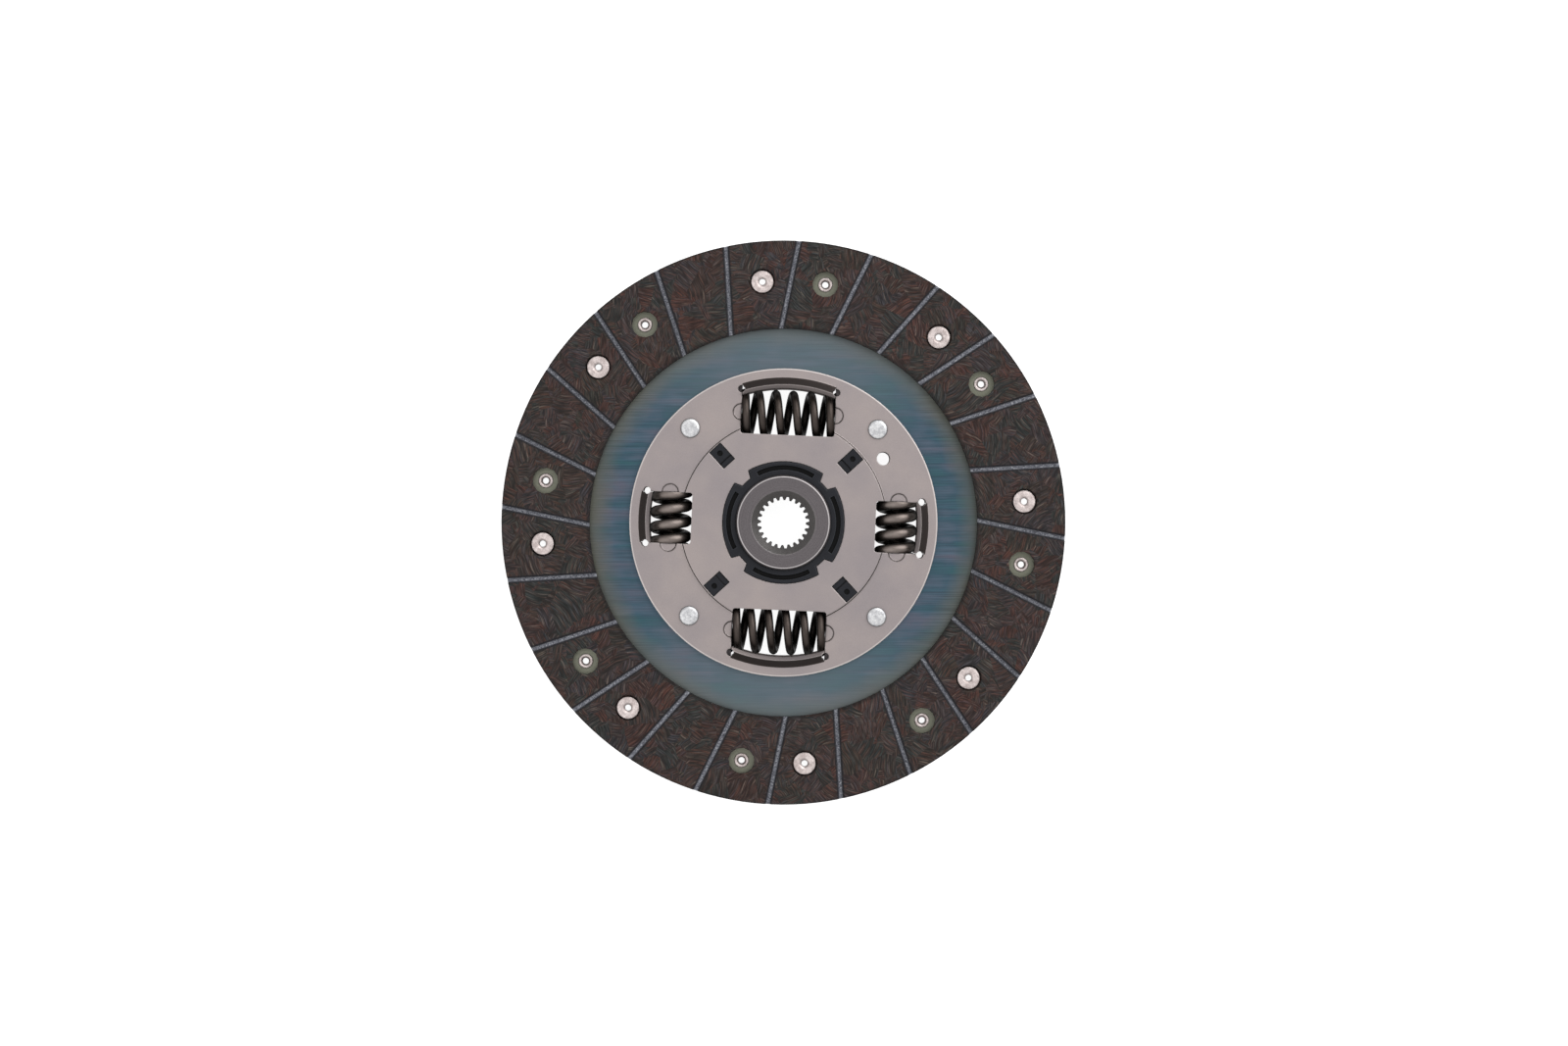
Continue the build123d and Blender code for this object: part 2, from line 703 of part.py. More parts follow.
with BuildPart() as rear_friction_washer:
    with BuildSketch(Plane.XY.offset(rear_washer_front)):
        Circle(washer_radius)
        Circle(washer_bore_radius, mode=Mode.SUBTRACT)
    extrude(amount=-rear_washer_thickness)
rear_friction_washer.part.label = "rear_friction_washer"
export_step(rear_friction_washer.part, "parts/rear_friction_washer.step")

with BuildPart() as thrust_plate:
    with BuildSketch(Plane.XY.offset(thrust_plate_front)):
        Circle(washer_radius)
        with PolarLocations(0, peg_count, start_angle=peg_angle):
            Rectangle(thrust_ear_reach, thrust_tab_width, align=(Align.MIN, Align.CENTER))
        Circle(washer_bore_radius, mode=Mode.SUBTRACT)
    extrude(amount=-thrust_plate_thickness)
    with BuildSketch(Plane.XY.offset(thrust_plate_front)):
        with PolarLocations(thrust_tab_radius, peg_count, start_angle=peg_angle):
            Rectangle(thrust_plate_thickness, thrust_tab_width)
    extrude(amount=rear_step_back - thrust_plate_front)
thrust_plate.part.label = "thrust_plate"
export_step(thrust_plate.part, "parts/thrust_plate.step")

with BuildPart() as cone_spring:
    with BuildSketch(Plane.XZ):
        with BuildLine():
            Polyline(
                (cone_spring_inner, cone_spring_front),
                (cone_spring_outer, rear_step_seat + cone_spring_thickness),
                (cone_spring_outer, rear_step_seat),
                (cone_spring_inner, cone_spring_front - cone_spring_thickness),
                close=True,
            )
        make_face()
    revolve(axis=Axis.Z)
cone_spring.part.label = "cone_spring"
export_step(cone_spring.part, "parts/cone_spring.step")


def coil_rise(turn, wire, pitch, open_turns):
    """How far along its axis a coil's wire lies, some turns from the middle: open at first, then closed."""
    closed_pitch = wire + closed_turn_gap
    closing = min(max(abs(turn) - open_turns / 2, 0), closing_turns)
    closed = max(abs(turn) - open_turns / 2 - closing_turns, 0)
    rise = pitch * (abs(turn) - closed) - (pitch - closed_pitch) * closing**2 / closing_turns / 2
    return copysign(rise + closed_pitch * closed, turn)


def coil_spring(diameter, wire, pitch, open_turns, phase, length):
    """A right-handed coil along Y about the origin, with closed ends ground flat. Its wire stands at the
    front where the turns, counted from the middle, and the phase add up to a whole number."""
    coil_radius = (diameter - wire) / 2
    steps = 0
    while coil_rise(steps / runs_per_turn, wire, pitch, open_turns) < length / 2 + wire:
        steps += 1
    points = []
    for step in range(-steps, steps + 1):
        turn = step / runs_per_turn
        heading = radians(360 * (turn + phase))
        rise = coil_rise(turn, wire, pitch, open_turns)
        points.append((coil_radius * sin(heading), rise, coil_radius * cos(heading)))
    with BuildPart() as coil:
        with BuildLine() as path:
            Polyline(*points)
        with BuildSketch(Plane(origin=path.line @ 0, z_dir=path.line % 0)):
            RegularPolygon(wire / 2, wire_sides)
        sweep(transition=Transition.RIGHT)
        Box(2 * diameter, length, 2 * diameter, mode=Mode.INTERSECT)
    return coil.part


# The side springs mirror each other across the hub, apart from their hand
main_size = (main_spring_diameter, main_wire_diameter, main_spring_pitch, main_open_turns)
side_size = (side_spring_diameter, side_wire_diameter, side_spring_pitch, side_open_turns)
main_length = main_window_length - 2 * spring_end_gap
side_length = side_window_length - 2 * spring_end_gap
main_coil = coil_spring(*main_size, main_spring_phase, main_length)
right_coil = coil_spring(*side_size, side_spring_phase, side_length)
left_coil = coil_spring(*side_size, -side_spring_phase, side_length)

# Each spring: its coil, the radius it sits at and its angle
springs = {
    "main_spring_top": (main_coil, main_spring_radius, 90),
    "main_spring_bottom": (main_coil, main_spring_radius, 270),
    "side_spring_right": (right_coil, side_spring_radius, 0),
    "side_spring_left": (left_coil, side_spring_radius, 180),
}

for name, (coil, radius, angle) in springs.items():
    with BuildPart(spring_plane) as spring:
        with PolarLocations(radius, 1, start_angle=angle):
            add(coil)
    spring.part.label = name
    export_step(spring.part, f"parts/{name}.step")
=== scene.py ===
from math import ceil, cos, pi, radians, sin

import bmesh
import bpy
from mathutils import Matrix, Vector


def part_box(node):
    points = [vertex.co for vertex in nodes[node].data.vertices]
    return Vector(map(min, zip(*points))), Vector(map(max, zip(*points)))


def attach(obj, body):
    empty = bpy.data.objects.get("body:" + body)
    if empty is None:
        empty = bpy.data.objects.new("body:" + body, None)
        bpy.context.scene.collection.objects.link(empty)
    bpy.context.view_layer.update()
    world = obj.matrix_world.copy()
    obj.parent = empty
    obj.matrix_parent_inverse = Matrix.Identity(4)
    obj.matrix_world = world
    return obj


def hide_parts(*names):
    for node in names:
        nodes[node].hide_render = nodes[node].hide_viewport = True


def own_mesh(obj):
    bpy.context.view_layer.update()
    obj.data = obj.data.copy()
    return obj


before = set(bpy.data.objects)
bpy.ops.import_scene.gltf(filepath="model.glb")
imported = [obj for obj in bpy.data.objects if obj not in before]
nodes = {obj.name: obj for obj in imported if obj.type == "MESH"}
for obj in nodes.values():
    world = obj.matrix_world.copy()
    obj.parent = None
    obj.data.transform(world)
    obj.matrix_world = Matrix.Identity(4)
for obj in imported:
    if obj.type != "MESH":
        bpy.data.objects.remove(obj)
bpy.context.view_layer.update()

MM = 0.001

# Sizes that the solids' boxes give
floor_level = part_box("hub")[0].z
facing_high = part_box("front_facing")[1]
disc_radius = facing_high.x
facing_front = facing_high.z
side_plate_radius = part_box("front_side_plate")[1].x
pins_low, pins_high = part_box("stop_pins")
spring_low, spring_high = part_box("main_spring_top")
spring_level = (spring_low.z + spring_high.z) / 2

# The levels of the side plates' outer faces
plate_face = 2.35 * MM
rear_plate_face = -12.138 * MM

# Distances from the hub's axis: its bore's lead-in, its turned rim, the pegs' step, the facings' bore
hub_mouth = 12.3 * MM
hub_rim = 17.4 * MM
peg_step = 32.6 * MM
facing_bore = 74 * MM

# The half-moons at the ends of the spring windows, in the first quarter of a side plate
half_moon_radius = 3.15 * MM
half_moon_middles = ((17.9 * MM, 41.55 * MM, 0.0), (43.65 * MM, 9.8 * MM, 0.0))

# The grooves of the front facing, which the rear facing repeats turned over
groove_step = 2 * pi / 24
groove_angle = radians(5.9)
groove_offset = 15.7 * MM
groove_width = 2.1 * MM
groove_depth = 1.2 * MM
turn_over_angle = radians(22.5)

# How far the disc lies turned in the camera's view
disc_turn = radians(2.5)


# Small shader helpers
def new_node(tree, kind, **settings):
    """A node with its properties and, by socket name, its input values."""
    node = tree.nodes.new(kind)
    for name, value in settings.items():
        if hasattr(node, name):
            setattr(node, name, value)
        else:
            node.inputs[name.replace("_", " ")].default_value = value
    return node


def link(tree, source, target):
    tree.links.new(source, target)


def maths(tree, operation, first, second=None, third=None):
    """A Math node whose inputs are sockets or numbers. Returns its output."""
    node = tree.nodes.new("ShaderNodeMath")
    node.operation = operation
    for socket, value in zip(node.inputs, (first, second, third)):
        if isinstance(value, bpy.types.NodeSocket):
            link(tree, value, socket)
        elif value is not None:
            socket.default_value = value
    return node.outputs[0]


def vector_maths(tree, operation, first, second):
    """A Vector Math node whose inputs are sockets or vectors. Returns its output."""
    node = tree.nodes.new("ShaderNodeVectorMath")
    node.operation = operation
    for socket, value in zip(node.inputs, (first, second)):
        if isinstance(value, bpy.types.NodeSocket):
            link(tree, value, socket)
        else:
            socket.default_value = value
    return node.outputs["Value" if operation == "DOT_PRODUCT" else "Vector"]


def axes(tree, vector):
    """The x, y and z of a vector."""
    node = tree.nodes.new("ShaderNodeSeparateXYZ")
    link(tree, vector, node.inputs[0])
    return tuple(node.outputs)


def from_axis(tree, place):
    """How far a point lies from the Z axis."""
    flat = vector_maths(tree, "MULTIPLY", place, (1.0, 1.0, 0.0))
    return maths(tree, "SQRT", vector_maths(tree, "DOT_PRODUCT", flat, flat))


def mix_colour(tree, factor, first, second, blend="MIX"):
    """Mixes two colours, given as sockets or as (r, g, b)."""
    node = tree.nodes.new("ShaderNodeMix")
    node.data_type = "RGBA"
    node.blend_type = blend
    node.clamp_factor = True
    for socket, value in zip((node.inputs[0], node.inputs[6], node.inputs[7]), (factor, first, second)):
        if isinstance(value, bpy.types.NodeSocket):
            link(tree, value, socket)
        elif isinstance(value, (int, float)):
            socket.default_value = value
        else:
            socket.default_value = (*value, 1.0)
    return node.outputs[2]


def shade(tree, tone, factor):
    """Darkens or lightens a colour by a factor."""
    return mix_colour(tree, 1.0, tone, factor, "MULTIPLY")


def ramp(tree, factor, *stops):
    """A colour ramp with (position, (r, g, b)) stops. Returns its colour."""
    node = tree.nodes.new("ShaderNodeValToRGB")
    elements = node.color_ramp.elements
    while len(elements) < len(stops):
        elements.new(0.5)
    for element, (position, tone) in zip(elements, stops):
        element.position = position
        element.color = (*tone, 1.0)
    link(tree, factor, node.inputs[0])
    return node.outputs[0]


def spread(tree, value, low, high, to_low=0.0, to_high=1.0):
    """Maps a value from low..high to to_low..to_high, clamped."""
    node = tree.nodes.new("ShaderNodeMapRange")
    link(tree, value, node.inputs[0])
    for socket, number in zip(node.inputs[1:5], (low, high, to_low, to_high)):
        socket.default_value = number
    return node.outputs[0]


def vary(tree, noise, low, high):
    """Brings a noise, which mostly lies between 0.3 and 0.7, to low..high."""
    return spread(tree, noise, 0.3, 0.7, low, high)


def colour(text):
    """A colour written as six hex digits, as linear light."""
    shades = [int(text[place : place + 2], 16) / 255 for place in (0, 2, 4)]
    return tuple(s / 12.92 if s <= 0.04045 else ((s + 0.055) / 1.055) ** 2.4 for s in shades)


# Effects that several finishes share
def new_group(name, inputs, outputs):
    """An empty node group with (name, socket type, default) inputs and (name, socket type) outputs."""
    group = bpy.data.node_groups.new(name, "ShaderNodeTree")
    for label, kind, default in inputs:
        socket = group.interface.new_socket(label, in_out="INPUT", socket_type=kind)
        if default is not None:
            socket.default_value = default
    for label, kind in outputs:
        group.interface.new_socket(label, in_out="OUTPUT", socket_type=kind)
    return group, group.nodes.new("NodeGroupInput").outputs, group.nodes.new("NodeGroupOutput").inputs


def use_group(tree, group, **values):
    """Places a group in a material, its inputs given as sockets or numbers. Returns its outputs."""
    node = tree.nodes.new("ShaderNodeGroup")
    node.node_tree = group
    for name, value in values.items():
        socket = node.inputs[name.replace("_", " ")]
        if isinstance(value, bpy.types.NodeSocket):
            link(tree, value, socket)
        else:
            socket.default_value = value
    return node.outputs


def make_mottle():
    """Soft blotches and fine grain, both about 0.5."""
    tree, given, out = new_group(
        "mottle",
        [
            ("Place", "NodeSocketVector", None),
            ("Blotch Size", "NodeSocketFloat", 8 * MM),
            ("Grain Size", "NodeSocketFloat", 0.4 * MM),
        ],
        [("Blotch", "NodeSocketFloat"), ("Grain", "NodeSocketFloat")],
    )
    for label, detail in (("Blotch", 3.0), ("Grain", 2.0)):
        noise = new_node(tree, "ShaderNodeTexNoise", Detail=detail, Roughness=0.6)
        link(tree, given["Place"], noise.inputs["Vector"])
        link(tree, maths(tree, "DIVIDE", 1.0, given[label + " Size"]), noise.inputs["Scale"])
        link(tree, noise.outputs["Fac"], out[label])
    return tree


def make_rolling_lines():
    """Fine straight lines, as a rolled or ground sheet has."""
    tree, given, out = new_group(
        "rolling_lines",
        [
            ("Place", "NodeSocketVector", None),
            ("Turn", "NodeSocketFloat", 0.0),
            ("Line Length", "NodeSocketFloat", 20 * MM),
            ("Line Width", "NodeSocketFloat", 0.3 * MM),
        ],
        [("Lines", "NodeSocketFloat")],
    )
    turned = new_node(tree, "ShaderNodeVectorRotate", rotation_type="Z_AXIS")
    link(tree, given["Place"], turned.inputs["Vector"])
    link(tree, given["Turn"], turned.inputs["Angle"])
    scale = tree.nodes.new("ShaderNodeCombineXYZ")
    for socket, label in zip(scale.inputs, ("Line Length", "Line Width", "Line Width")):
        link(tree, maths(tree, "DIVIDE", 1.0, given[label]), socket)
    drawn_out = vector_maths(tree, "MULTIPLY", turned.outputs[0], scale.outputs[0])
    noise = new_node(tree, "ShaderNodeTexNoise", Scale=1.0, Detail=3.0, Roughness=0.65)
    link(tree, drawn_out, noise.inputs["Vector"])
    link(tree, noise.outputs["Fac"], out["Lines"])
    return tree


def make_turning_marks():
    """Fine rings about the Z axis, as a lathe leaves them, and the distance from the axis."""
    tree, given, out = new_group(
        "turning_marks",
        [
            ("Place", "NodeSocketVector", None),
            ("Ring Width", "NodeSocketFloat", 0.2 * MM),
        ],
        [("Rings", "NodeSocketFloat"), ("Radius", "NodeSocketFloat")],
    )
    radius = from_axis(tree, given["Place"])
    level = axes(tree, given["Place"])[2]
    flat = tree.nodes.new("ShaderNodeCombineXYZ")
    link(tree, maths(tree, "DIVIDE", radius, given["Ring Width"]), flat.inputs[0])
    link(tree, maths(tree, "DIVIDE", level, given["Ring Width"]), flat.inputs[1])
    noise = new_node(tree, "ShaderNodeTexNoise", Scale=1.0, Detail=2.0, Roughness=0.7)
    link(tree, flat.outputs[0], noise.inputs["Vector"])
    link(tree, noise.outputs["Fac"], out["Rings"])
    link(tree, radius, out["Radius"])
    return tree


def make_fibres():
    """Short wavy fibres that lie in patches, each patch in its own direction.

    Shade is one value for each fibre and Patch is one value for each patch.
    """
    tree, given, out = new_group(
        "fibres",
        [
            ("Place", "NodeSocketVector", None),
            ("Shift", "NodeSocketVector", (0.0, 0.0, 0.0)),
            ("Patch Size", "NodeSocketFloat", 9.5 * MM),
            ("Fibre Length", "NodeSocketFloat", 5 * MM),
            ("Fibre Width", "NodeSocketFloat", 0.5 * MM),
            ("Wave", "NodeSocketFloat", 0.5 * MM),
        ],
        [("Shade", "NodeSocketFloat"), ("Ridge", "NodeSocketFloat"), ("Patch", "NodeSocketFloat")],
    )
    wave_run = 2.2 * MM
    moved = vector_maths(tree, "ADD", given["Place"], given["Shift"])
    flat = vector_maths(tree, "MULTIPLY", moved, (1.0, 1.0, 0.0))
    patch = new_node(tree, "ShaderNodeTexVoronoi", Randomness=1.0)
    link(tree, flat, patch.inputs["Vector"])
    link(tree, maths(tree, "DIVIDE", 1.0, given["Patch Size"]), patch.inputs["Scale"])
    chance = tree.nodes.new("ShaderNodeSeparateColor")
    link(tree, patch.outputs["Color"], chance.inputs[0])
    turned = new_node(tree, "ShaderNodeVectorRotate", rotation_type="Z_AXIS")
    link(tree, vector_maths(tree, "SUBTRACT", moved, patch.outputs["Position"]), turned.inputs["Vector"])
    link(tree, maths(tree, "MULTIPLY", chance.outputs[0], 2 * pi), turned.inputs["Angle"])
    along, across, level = axes(tree, turned.outputs[0])
    wave_start = maths(tree, "MULTIPLY", chance.outputs[1], 9.0)
    phase = maths(tree, "MULTIPLY_ADD", along, 1 / wave_run, wave_start)
    bent = maths(tree, "MULTIPLY_ADD", maths(tree, "SINE", phase), given["Wave"], across)
    depth = maths(tree, "ADD", level, maths(tree, "MULTIPLY", chance.outputs[2], 0.2))
    scaled = tree.nodes.new("ShaderNodeCombineXYZ")
    sizes = ("Fibre Length", "Fibre Width", "Fibre Width")
    for socket, value, size in zip(scaled.inputs, (along, bent, depth), sizes):
        link(tree, maths(tree, "DIVIDE", value, given[size]), socket)
    fibre = new_node(tree, "ShaderNodeTexVoronoi", Scale=1.0, Randomness=1.0)
    link(tree, scaled.outputs[0], fibre.inputs["Vector"])
    tint = tree.nodes.new("ShaderNodeSeparateColor")
    link(tree, fibre.outputs["Color"], tint.inputs[0])
    link(tree, tint.outputs[0], out["Shade"])
    link(tree, chance.outputs[1], out["Patch"])
    link(tree, spread(tree, fibre.outputs["Distance"], 0.0, 0.75, 1.0, 0.0), out["Ridge"])
    return tree


def make_rounded_edges():
    """1 where an edge is rounded off and 0 away from it, with the rounded surface's normal."""
    tree, given, out = new_group(
        "rounded_edges",
        [("Width", "NodeSocketFloat", 0.2 * MM)],
        [("Edge", "NodeSocketFloat"), ("Normal", "NodeSocketVector")],
    )
    rounded = new_node(tree, "ShaderNodeBevel", samples=6)
    link(tree, given["Width"], rounded.inputs["Radius"])
    plain = tree.nodes.new("ShaderNodeNewGeometry").outputs["Normal"]
    likeness = vector_maths(tree, "DOT_PRODUCT", rounded.outputs[0], plain)
    # The finishes use the Edge mask for painted highlights and painted shade on edges
    link(tree, spread(tree, likeness, 0.99, 0.8), out["Edge"])
    link(tree, rounded.outputs[0], out["Normal"])
    return tree


def make_slopes():
    """How level a surface lies, whether it leans away from the Z axis, and how far it is from there."""
    tree, given, out = new_group(
        "slopes",
        [("Place", "NodeSocketVector", None), ("Facing", "NodeSocketVector", None)],
        [("Level", "NodeSocketFloat"), ("Outward", "NodeSocketFloat"), ("Radius", "NodeSocketFloat")],
    )
    link(tree, maths(tree, "ABSOLUTE", axes(tree, given["Facing"])[2]), out["Level"])
    flat = vector_maths(tree, "MULTIPLY", given["Place"], (1.0, 1.0, 0.0))
    lean = vector_maths(tree, "DOT_PRODUCT", flat, given["Facing"])
    link(tree, maths(tree, "GREATER_THAN", lean, 0.0), out["Outward"])
    link(tree, from_axis(tree, given["Place"]), out["Radius"])
    return tree


mottle = make_mottle()
rolling_lines = make_rolling_lines()
turning_marks = make_turning_marks()
fibres = make_fibres()
rounded_edges = make_rounded_edges()
slopes = make_slopes()


# Finishes
def start_finish(name, roughness, metallic=0.0):
    """A material with its tree, its shader and the object's coordinates and normal."""
    material = bpy.data.materials.new(name)
    material.use_nodes = True
    tree = material.node_tree
    shader = tree.nodes["Principled BSDF"]
    shader.inputs["Roughness"].default_value = roughness
    shader.inputs["Metallic"].default_value = metallic
    given = tree.nodes.new("ShaderNodeTexCoord").outputs
    return material, tree, shader, given["Object"], given["Normal"]


def bump(tree, shader, height, strength, distance, normal=None):
    """Gives a shader its relief, over the rounded edges' normal where there is one."""
    node = new_node(tree, "ShaderNodeBump", Strength=strength, Distance=distance)
    link(tree, height, node.inputs["Height"])
    if normal:
        link(tree, normal, node.inputs["Normal"])
    link(tree, node.outputs[0], shader.inputs["Normal"])


def groove_distance(tree, place):
    """How far a point of a facing lies beside the middle of its nearest groove.

    The rear facing is the front one turned over.
    """
    x, y, z = axes(tree, place)
    radius = from_axis(tree, place)
    around = maths(tree, "SUBTRACT", maths(tree, "ARCTAN2", y, x), turn_over_angle)
    front = maths(tree, "MULTIPLY_ADD", around, maths(tree, "SIGN", z), turn_over_angle - groove_angle)
    lag = maths(tree, "ARCSINE", maths(tree, "DIVIDE", groove_offset, radius))
    number = maths(tree, "DIVIDE", maths(tree, "SUBTRACT", front, lag), groove_step)
    local = maths(tree, "MULTIPLY_ADD", maths(tree, "ROUND", number), -groove_step, front)
    beside = maths(tree, "MULTIPLY", maths(tree, "SINE", local), radius)
    return maths(tree, "ABSOLUTE", maths(tree, "SUBTRACT", beside, groove_offset))


def friction_finish():
    """Moulded yarn: dark brown with wavy fibres and blue-grey groove floors, with painted shade at its
    rims and along the groove edges.
    """
    material, tree, shader, place, facing = start_finish("friction_lining", 0.6)
    shader.inputs["Specular IOR Level"].default_value = 0.3
    first = use_group(tree, fibres, Place=place)
    second = use_group(
        tree,
        fibres,
        Place=place,
        Shift=(0.31, 0.17, 0.0),
        Patch_Size=7 * MM,
        Fibre_Length=3.6 * MM,
        Fibre_Width=0.38 * MM,
        Wave=0.35 * MM,
    )
    clouds = use_group(tree, mottle, Place=place, Blotch_Size=9 * MM, Grain_Size=0.45 * MM)
    over = spread(tree, clouds["Blotch"], 0.49, 0.53)
    yarns = [
        ramp(
            tree,
            layer["Shade"],
            (0.0, colour("171516")),
            (0.25, colour("2b2524")),
            (0.45, colour("4a302a")),
            (0.6, colour("613b31")),
            (0.72, colour("373b35")),
            (0.85, colour("4a424a")),
            (0.96, colour("66584f")),
            (1.0, colour("85766c")),
        )
        for layer in (first, second)
    ]
    bundles = [
        ramp(
            tree,
            layer["Patch"],
            (0.15, colour("3a423f")),
            (0.3, colour("5b3a33")),
            (0.5, colour("423f36")),
            (0.65, colour("5a4a48")),
            (0.8, colour("3f4248")),
            (0.95, colour("643f35")),
        )
        for layer in (first, second)
    ]
    bundled = [mix_colour(tree, 0.45, *pair) for pair in zip(yarns, bundles)]
    yarn = mix_colour(tree, over, *bundled)
    ridge = tree.nodes.new("ShaderNodeMix")
    for number, value in zip((0, 2, 3), (over, first["Ridge"], second["Ridge"])):
        link(tree, value, ridge.inputs[number])
    shadow = spread(tree, ridge.outputs[0], 0.1, 0.6, 0.34, 0.87)
    speck = vary(tree, clouds["Grain"], 0.8, 1.2)
    shaded = shade(tree, yarn, maths(tree, "MULTIPLY", shadow, speck))
    form = use_group(tree, slopes, Place=place, Facing=facing)
    # Painted shade: darker bands at the bore's edge and at the outer rim
    rim_shade = maths(
        tree,
        "MULTIPLY",
        spread(tree, form["Radius"], facing_bore + 0.6 * MM, facing_bore + 1.5 * MM, 0.35, 1.0),
        spread(tree, form["Radius"], disc_radius - 0.8 * MM, disc_radius - 0.3 * MM, 1.0, 0.4),
    )
    rim_shaded = shade(tree, shaded, rim_shade)
    depth = maths(tree, "SUBTRACT", facing_front, maths(tree, "ABSOLUTE", axes(tree, place)[2]))
    groove_floor = maths(
        tree,
        "MULTIPLY",
        spread(tree, depth, groove_depth - 0.1 * MM, groove_depth - 0.02 * MM),
        spread(tree, depth, groove_depth + 0.02 * MM, groove_depth + 0.06 * MM, 1.0, 0.0),
    )
    dust = ramp(
        tree,
        clouds["Grain"],
        (0.33, colour("4a4b52")),
        (0.47, colour("777983")),
        (0.6, colour("9fa1aa")),
        (0.7, colour("d0d1d6")),
    )
    floored = mix_colour(tree, groove_floor, rim_shaded, dust)
    edges = use_group(tree, rounded_edges, Width=0.5 * MM)
    # Painted shade: a dark, frayed line along both edges of each groove
    fray = 0.8 * MM
    frayed = maths(tree, "MULTIPLY_ADD", clouds["Grain"], fray, groove_distance(tree, place))
    off_line = maths(tree, "ABSOLUTE", maths(tree, "SUBTRACT", frayed, (groove_width + fray) / 2))
    line = spread(tree, off_line, 0.25 * MM, 0.5 * MM, 0.85, 0.0)
    shade_outlined = mix_colour(tree, line, floored, colour("18161a"))
    link(tree, shade_outlined, shader.inputs["Base Color"])
    link(tree, spread(tree, ridge.outputs[0], 0.0, 1.0, 0.75, 0.5), shader.inputs["Roughness"])
    bump(tree, shader, ridge.outputs[0], 0.6, 0.15 * MM, edges["Normal"])
    return material


def blued_finish():
    """Tempered spring sheet with fine rolling lines: slate blue, and olive grey near the facings, with a
    painted sheen that greys it near the Y axis.
    """
    material, tree, shader, place, facing = start_finish("blued_sheet", 0.42, 0.7)
    lie = {"Place": place, "Turn": -disc_turn}
    lines = use_group(tree, rolling_lines, **lie, Line_Length=24 * MM, Line_Width=0.35 * MM)
    bands = use_group(tree, rolling_lines, **lie, Line_Length=60 * MM, Line_Width=5 * MM)
    marks = use_group(tree, mottle, Place=place, Blotch_Size=30 * MM, Grain_Size=1.2 * MM)
    form = use_group(tree, slopes, Place=place, Facing=facing)
    wander = maths(tree, "MULTIPLY", maths(tree, "SUBTRACT", marks["Blotch"], 0.5), 12 * MM)
    band = spread(tree, maths(tree, "ADD", form["Radius"], wander), 58 * MM, facing_bore + 1 * MM)
    half_bands = maths(tree, "MULTIPLY", bands["Lines"], 0.5)
    temper = maths(tree, "MULTIPLY_ADD", marks["Blotch"], 0.5, half_bands)
    blue = ramp(
        tree,
        temper,
        (0.38, colour("355860")),
        (0.47, colour("3b5361")),
        (0.54, colour("4c5a69")),
        (0.62, colour("595a68")),
    )
    faded = mix_colour(tree, spread(tree, band, 0.45, 1.0), blue, colour("5d5e56"))
    streaked = shade(tree, faded, vary(tree, lines["Lines"], 0.66, 1.28))
    # Painted sheen: greyer towards the Y axis, above and below the hub
    upright = maths(tree, "ABSOLUTE", maths(tree, "DIVIDE", axes(tree, place)[1], form["Radius"]))
    sheened = mix_colour(tree, spread(tree, upright, 0.6, 1.0, 0.0, 0.5), streaked, colour("6b7479"))
    covered = spread(tree, form["Radius"], 80 * MM, 86 * MM)
    link(tree, mix_colour(tree, covered, sheened, colour("7d7e70")), shader.inputs["Base Color"])
    link(tree, vary(tree, lines["Lines"], 0.36, 0.5), shader.inputs["Roughness"])
    edges = use_group(tree, rounded_edges, Width=0.15 * MM)
    bump(tree, shader, lines["Lines"], 0.25, 0.03 * MM, edges["Normal"])
    return material


def half_moon_shade_lines(tree, place):
    """Painted shade lines round the half-moons, which are the same in a side plate's four quarters."""
    quarter = vector_maths(tree, "ABSOLUTE", place, (0.0, 0.0, 0.0))
    flat = vector_maths(tree, "MULTIPLY", quarter, (1.0, 1.0, 0.0))
    lines = []
    for middle in half_moon_middles:
        offset = vector_maths(tree, "SUBTRACT", flat, middle)
        reach = maths(tree, "SQRT", vector_maths(tree, "DOT_PRODUCT", offset, offset))
        off_line = maths(tree, "ABSOLUTE", maths(tree, "SUBTRACT", reach, half_moon_radius))
        lines.append(spread(tree, off_line, 0.12 * MM, 0.42 * MM, 0.6, 0.0))
    return maths(tree, "MAXIMUM", *lines)


